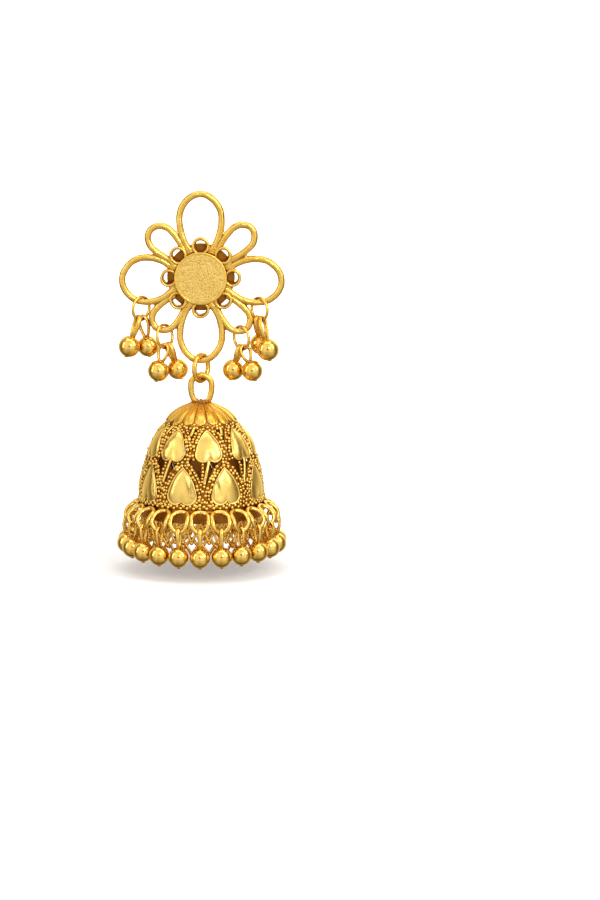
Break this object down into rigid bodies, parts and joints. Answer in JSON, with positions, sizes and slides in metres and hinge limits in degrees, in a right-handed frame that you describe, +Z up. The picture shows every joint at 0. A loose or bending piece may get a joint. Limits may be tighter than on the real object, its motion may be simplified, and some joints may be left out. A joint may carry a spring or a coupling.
{
  "type": "jhumka earring",
  "caption": "Jhumka earring: a wire flower on an ear post, with an openwork bell hung from a jump ring and fringed with ball drops.",
  "frame": {"origin": "back face of the post pad, on the axis of the post, where the earring pins on the ear lobe", "axes": "+Z up, the flower faces -Y, +Y along the ear post away from the flower"},
  "size_m": [0.027, 0.0272, 0.0587],
  "materials": {
    "gold_wire": "satin gold plate over wire, with faint pits and drawn lines",
    "gold_frosted": "frosted gold plate with a bright rim",
    "gold_plain": "plain satin gold plate",
    "gold_openwork": "granulated and pierced gold plate with dark recesses",
    "gold_ball": "polished gold plate"
  },
  "bodies": {
    "flower": {"rosette": "gold_wire", "centre_disc": "gold_frosted", "ear_post": "gold_plain", "cluster_drop_e1": "gold_ball", "cluster_drop_e2": "gold_ball", "cluster_drop_se1": "gold_ball", "cluster_drop_se2": "gold_ball", "cluster_drop_sw1": "gold_ball", "cluster_drop_sw2": "gold_ball", "cluster_drop_w1": "gold_ball", "cluster_drop_w2": "gold_ball", "cluster_ring_e": "gold_wire", "cluster_ring_se": "gold_wire", "cluster_ring_sw": "gold_wire", "cluster_ring_w": "gold_wire"},
    "drop_ring": {"drop_ring": "gold_wire"},
    "bell": {"bell_cap": "gold_openwork", "bell_dome": "gold_openwork", "rim_band": "gold_openwork", "fringe_drop_01": "gold_ball", "fringe_drop_02": "gold_ball", "fringe_drop_03": "gold_ball", "fringe_drop_04": "gold_ball", "fringe_drop_05": "gold_ball", "fringe_drop_06": "gold_ball", "fringe_drop_07": "gold_ball", "fringe_drop_08": "gold_ball", "fringe_drop_09": "gold_ball", "fringe_drop_10": "gold_ball", "fringe_drop_11": "gold_ball", "fringe_drop_12": "gold_ball", "fringe_drop_13": "gold_ball", "fringe_drop_14": "gold_ball", "fringe_drop_15": "gold_ball", "fringe_drop_16": "gold_ball", "fringe_drop_17": "gold_ball", "fringe_drop_18": "gold_ball", "fringe_drop_19": "gold_ball", "fringe_drop_20": "gold_ball", "fringe_drop_21": "gold_ball", "fringe_drop_22": "gold_ball"}
  },
  "joints": [
    {"name": "ring_swing", "type": "hinge", "parent": "flower", "child": "drop_ring", "pos_m": [0, -0.0014, -0.0133], "axis": [1, 0, 0], "range_deg": [-30, 30]},
    {"name": "bell_swing", "type": "hinge", "parent": "drop_ring", "child": "bell", "pos_m": [0, -0.0014, -0.01656], "axis": [0.5, 0.866, 0], "range_deg": [-30, 30]}
  ]
}
